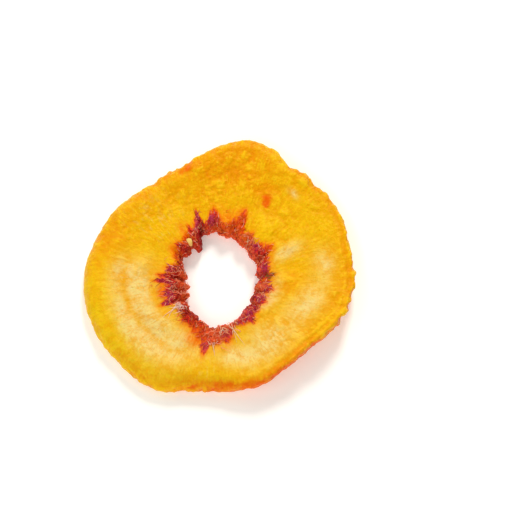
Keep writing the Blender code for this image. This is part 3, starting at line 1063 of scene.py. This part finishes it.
# Tangles of threads, each between two colours:
# (colour, other colour, how many, size, direction, spread in degrees, distance, spread of distance)
TANGLES = in_metres(
    2,
    (WHITE_PINK, PINK, 26, 0.85, 219, 1.4, 2.2, 0.35),
    (SALMON, PINK, 70, 0.75, 196, 12, 3.2, 1.3),
    (SALMON, PINK, 18, 0.8, 172, 6, 3.2, 1),
    (SALMON, PINK, 26, 1, 190, 14, 0.8, 0.7),
    (EMBER, PINK, 32, 1.15, 270, 8, 2.4, 1),
    (SALMON, CREAM, 8, 1.1, 272, 7, 2.2, 0.9),
    (PINK, CREAM, 7, 1, 268, 2.5, 4.4, 0.4),
    (SALMON, PINK, 22, 1, 53, 8, 1.4, 0.8),
    (EMBER, SALMON, 8, 1, 73, 5, 4, 0.8),
    (SALMON, PINK, 16, 0.8, 114, 4, 3, 0.8),
    (SALMON, PINK, 16, 0.8, 24, 7, 1.8, 0.8),
    (SALMON, CREAM, 12, 1, 290, 6, 1.4, 0.8),
    (SALMON, CREAM, 24, 0.8, 342, 8, 2, 0.9),
    (SALMON, PINK, 10, 0.8, 309, 8, 1.6, 0.8),
    (CRIMSON, SALMON, 10, 0.9, 236, 9, 1.8, 0.8),
)

# Single pale threads: (colour, direction, bearing, curl in degrees, distance, length, width)
LONG_THREADS = in_metres(
    3,
    (WHITE_PINK, 219, -6, 26, 2.2, 4.8, 0.18),
    (WHITE_PINK, 217, 8, 16, 2.8, 3.8, 0.16),
    (WHITE_PINK, 222, -24, -30, 1.8, 2.8, 0.18),
    (CREAM, 284, 10, 6, 0.2, 7.6, 0.22),
    (CREAM, 287, 2, 10, 0.4, 6.2, 0.17),
    (PINK, 280, 34, 20, 0.6, 3, 0.18),
    (WHITE_PINK, 267, 4, 0, 4.4, 3.2, 0.2),
    (CREAM, 56, -55, 30, 0.8, 2.6, 0.18),
    (CREAM, 52, 20, 20, 0.6, 2.8, 0.18),
    (PINK, 66, -20, 60, 2.6, 2.4, 0.16),
    (PINK, 230, -30, 60, 1.6, 2.6, 0.16),
)
LONG_THREAD_RISE = 0.12 * MM

# Short dark hairs: (direction, bearing, curl in degrees, distance, length)
DARK_HAIRS = in_metres(
    2,
    (183, 28, 10, 6.4, 3), (186, 40, 14, 6, 2.4), (109, 6, 4, 4.6, 2.4), (119, 8, 6, 4.4, 2),
)
HAIR_WIDTH = 0.13 * MM

# Knobs of pale flesh: (direction, bearing, distance, length, width)
NUBS = in_metres(3, (122, 85, 1.2, 1.3, 1.6), (128, 20, 1.3, 0.8, 0.8))


def make_strands(sheet):
    """Pale fibres that drying has lifted, in tangles and alone, with dark hairs and pale knobs."""
    strands = Threads(sheet)
    for colour, other, count, size, direction, spread, distance, depth in TANGLES:
        for _ in range(count):
            start = random.gauss(direction, spread)
            depth_here = max(0.1 * MM, random.gauss(distance, depth))
            bearings = wander(random.gauss(0, 75), 12, 10, random.uniform(-70, 70), 0.35)
            tint = mixed(colour, other, random.uniform(0.0, 1.0))
            length, width = size * random.uniform(0.8, 2.3) * MM, size * random.uniform(0.11, 0.2) * MM
            rise = random.uniform(0.1, 0.45) * MM
            strands.lay(start, depth_here, bearings, length, width, tint, rise)
    for colour, direction, bearing, curl, distance, length, width in LONG_THREADS:
        bearings = wander(bearing, 18, 2, curl, 0.15)
        tint = mixed(PINK, colour, random.uniform(0.5, 0.9))
        strands.lay(direction, distance, bearings, length, width, tint, rise=LONG_THREAD_RISE)
    for direction, bearing, curl, distance, length in DARK_HAIRS:
        bearings = wander(bearing, 10, 1, curl, 0.1)
        strands.lay(direction, distance, bearings, length, HAIR_WIDTH, DARK_CRIMSON)
    for direction, bearing, distance, length, width in NUBS:
        bearings = wander(bearing, 9, 8, 0, 0.1)
        strands.lay(direction, distance, bearings, length, width, KNOB_CREAM, is_knob=True)
    piece("fibre_strands", strands.mesh("fibre_strands"), thread_material())


def add_object(name, data):
    thing = bpy.data.objects.new(name, data)
    bpy.context.scene.collection.objects.link(thing)
    return thing


def piece(name, mesh, material):
    mesh.materials.append(material)
    thing = add_object(name, mesh)
    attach(thing, "root")
    return thing


def make_flesh():
    ring = Ring()
    relief = fine_relief(ring)
    shares = colour_shares(ring, relief)
    ring.push_out(relief)
    mesh = ring.mesh("peach_flesh")
    for name, values in shares.items():
        add_attribute(mesh, name, values)
    polar = np.stack((*heading(ring.angle), ring.from_hole / CENTIMETRE), axis=2)
    add_attribute(mesh, "polar", polar, "FLOAT_VECTOR", "vector")
    flesh = piece("peach_flesh", mesh, flesh_material())
    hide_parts(NODE)
    return Sheet(ring)


def make_floor():
    mesh = bpy.data.meshes.new("floor")
    far = FLOOR_HALF_WIDTH
    corners = [(-far, -far, 0), (far, -far, 0), (far, far, 0), (-far, far, 0)]
    mesh.from_pydata(corners, [], [(0, 1, 2, 3)])
    paper = Shader("white_paper").surfaced({
        "Base Color": (0.96, 0.95, 0.90, 1.0),
        "Roughness": 0.9,
        "Specular IOR Level": 0.1,
        "Emission Color": (1.0, 0.99, 0.92, 1.0),
        "Emission Strength": 0.22,
    })
    mesh.materials.append(paper)
    add_object("floor", mesh)


def aim(thing, target):
    thing.rotation_euler = (thing.location - target).to_track_quat("Z", "Y").to_euler()


def area_light(name, place, size, power, colour):
    light = bpy.data.lights.new(name, "AREA")
    light.size = size
    light.energy = power
    light.color = colour
    lamp = add_object(name, light)
    lamp.location = place
    aim(lamp, Vector((0, 0, 0)))


def make_lights():
    world = bpy.data.worlds.new("studio")
    world.use_nodes = True
    background = world.node_tree.nodes["Background"]
    background.inputs["Color"].default_value = SKY_COLOUR
    background.inputs["Strength"].default_value = SKY_STRENGTH
    bpy.context.scene.world = world
    for row in LIGHTS:
        area_light(*row)


def make_camera():
    data = bpy.data.cameras.new("camera")
    data.lens = CAMERA_LENS
    data.sensor_width = CAMERA_SENSOR_WIDTH
    data.clip_start = CAMERA_NEAR_CLIP
    camera = add_object("camera", data)
    rise = math.radians(CAMERA_ELEVATION)
    camera.location = CAMERA_AIM + CAMERA_DISTANCE * Vector((0, -math.cos(rise), math.sin(rise)))
    aim(camera, CAMERA_AIM)
    bpy.context.scene.camera = camera


RANDOM_SEED = 5311


def main():
    random.seed(RANDOM_SEED)
    make_camera()
    make_lights()
    make_floor()
    sheet = make_flesh()
    make_shreds(sheet)
    make_strands(sheet)
    settings = bpy.context.scene.view_settings
    settings.view_transform = "Standard"
    settings.look = "None"


main()
